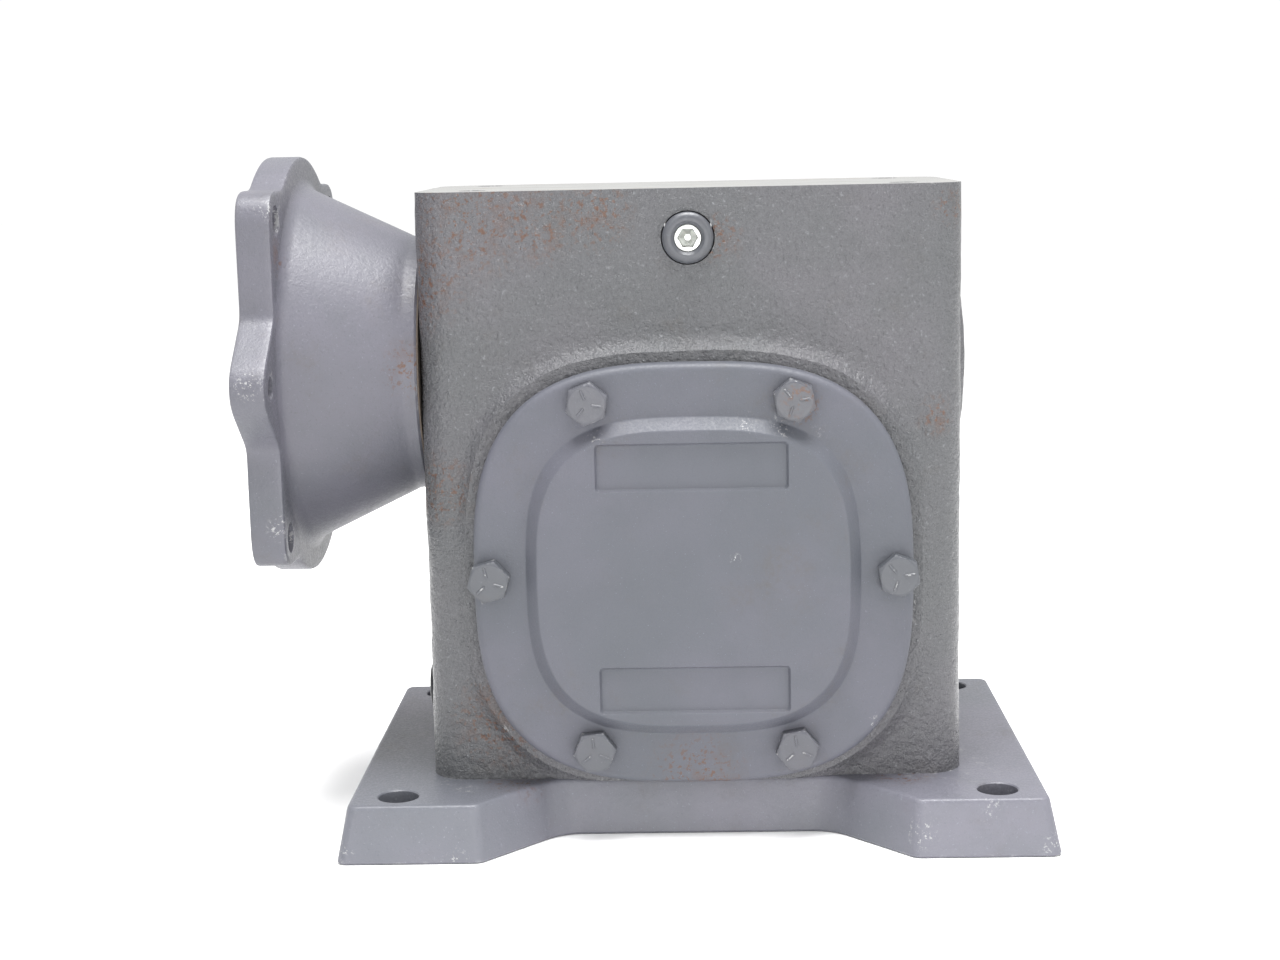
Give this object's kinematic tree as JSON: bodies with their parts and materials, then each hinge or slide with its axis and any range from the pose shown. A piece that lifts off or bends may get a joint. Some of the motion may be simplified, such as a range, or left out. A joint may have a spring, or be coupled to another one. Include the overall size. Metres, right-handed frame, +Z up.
{
  "type": "worm gearbox",
  "caption": "Right-angle worm gear reducer with a motor flange, hollow input, blank front cover, side output shaft and a bolt-on foot base.",
  "frame": {"origin": "middle of the base plate's underside, on the floor, below the output shaft's axis plane", "axes": "+X from the motor flange towards the blank end of the worm, +Y along the output shaft towards its free end, +Z up"},
  "size_m": [0.2657, 0.23, 0.231],
  "materials": {
    "cast_paint": "satin grey enamel on coarse sand-cast iron, a few rust specks and chips",
    "smooth_paint": "satin grey enamel on smoother iron castings",
    "bolt_paint": "grey enamel over zinc-plated hexagon heads",
    "zinc": "bright zinc plate, machined socket",
    "black_steel": "black oxide, slightly oily",
    "steel": "turned and ground steel, light oil",
    "bearing_steel": "ground bearing steel",
    "brass_cage": "pressed brass cage, with steel balls that the solid joins to it",
    "bronze": "machined bronze teeth, light oil",
    "cast_iron": "bare cast iron, machined faces",
    "rubber": "brown-black nitrile seal",
    "gasket": "compressed fibre sheet"
  },
  "bodies": {
    "casing": {"housing": "cast_paint", "base_plate": "smooth_paint", "motor_flange": "smooth_paint", "motor_flange_gasket": "gasket", "front_cover": "smooth_paint", "rear_cover": "smooth_paint", "front_cover_gasket": "gasket", "rear_cover_gasket": "gasket", "front_cover_bolt_1": "bolt_paint", "rear_cover_bolt_1": "bolt_paint", "front_cover_bolt_2": "bolt_paint", "rear_cover_bolt_2": "bolt_paint", "front_cover_bolt_3": "bolt_paint", "rear_cover_bolt_3": "bolt_paint", "front_cover_bolt_4": "bolt_paint", "rear_cover_bolt_4": "bolt_paint", "front_cover_bolt_5": "bolt_paint", "rear_cover_bolt_5": "bolt_paint", "front_cover_bolt_6": "bolt_paint", "rear_cover_bolt_6": "bolt_paint", "base_bolt_1": "bolt_paint", "base_bolt_2": "bolt_paint", "base_bolt_3": "bolt_paint", "base_bolt_4": "bolt_paint", "motor_flange_screw_1": "black_steel", "motor_flange_screw_2": "black_steel", "motor_flange_screw_3": "black_steel", "motor_flange_screw_4": "black_steel", "level_plug": "zinc", "vent_plug": "zinc", "drain_plug": "black_steel", "tail_bore_plug": "smooth_paint", "input_bearing_outer_ring": "bearing_steel", "tail_bearing_outer_ring": "bearing_steel", "input_oil_seal": "rubber", "output_oil_seal": "rubber", "front_bearing_cup": "bearing_steel", "rear_bearing_cup": "bearing_steel", "input_bearing_ball_cage": "brass_cage", "tail_bearing_ball_cage": "brass_cage", "front_bearing_rollers": "bearing_steel", "rear_bearing_rollers": "bearing_steel"},
    "worm": {"worm_shaft": "steel", "input_bearing_inner_ring": "bearing_steel", "tail_bearing_inner_ring": "bearing_steel"},
    "output": {"output_shaft": "steel", "worm_wheel_rim": "bronze", "worm_wheel_hub": "cast_iron", "wheel_key": "steel", "output_key": "steel", "wheel_spacer": "steel", "front_bearing_cone": "bearing_steel", "rear_bearing_cone": "bearing_steel"}
  },
  "joints": [
    {"name": "output_spin", "type": "hinge", "parent": "casing", "child": "output", "pos_m": [0, 0, 0.09125], "axis": [0, 1, 0], "continuous": true},
    {"name": "worm_spin", "type": "hinge", "parent": "casing", "child": "worm", "pos_m": [0, 0, 0.158], "axis": [1, 0, 0], "continuous": true}
  ],
  "couplings": [
    {"joint": "worm_spin", "follows": "output_spin", "ratio": -30}
  ]
}
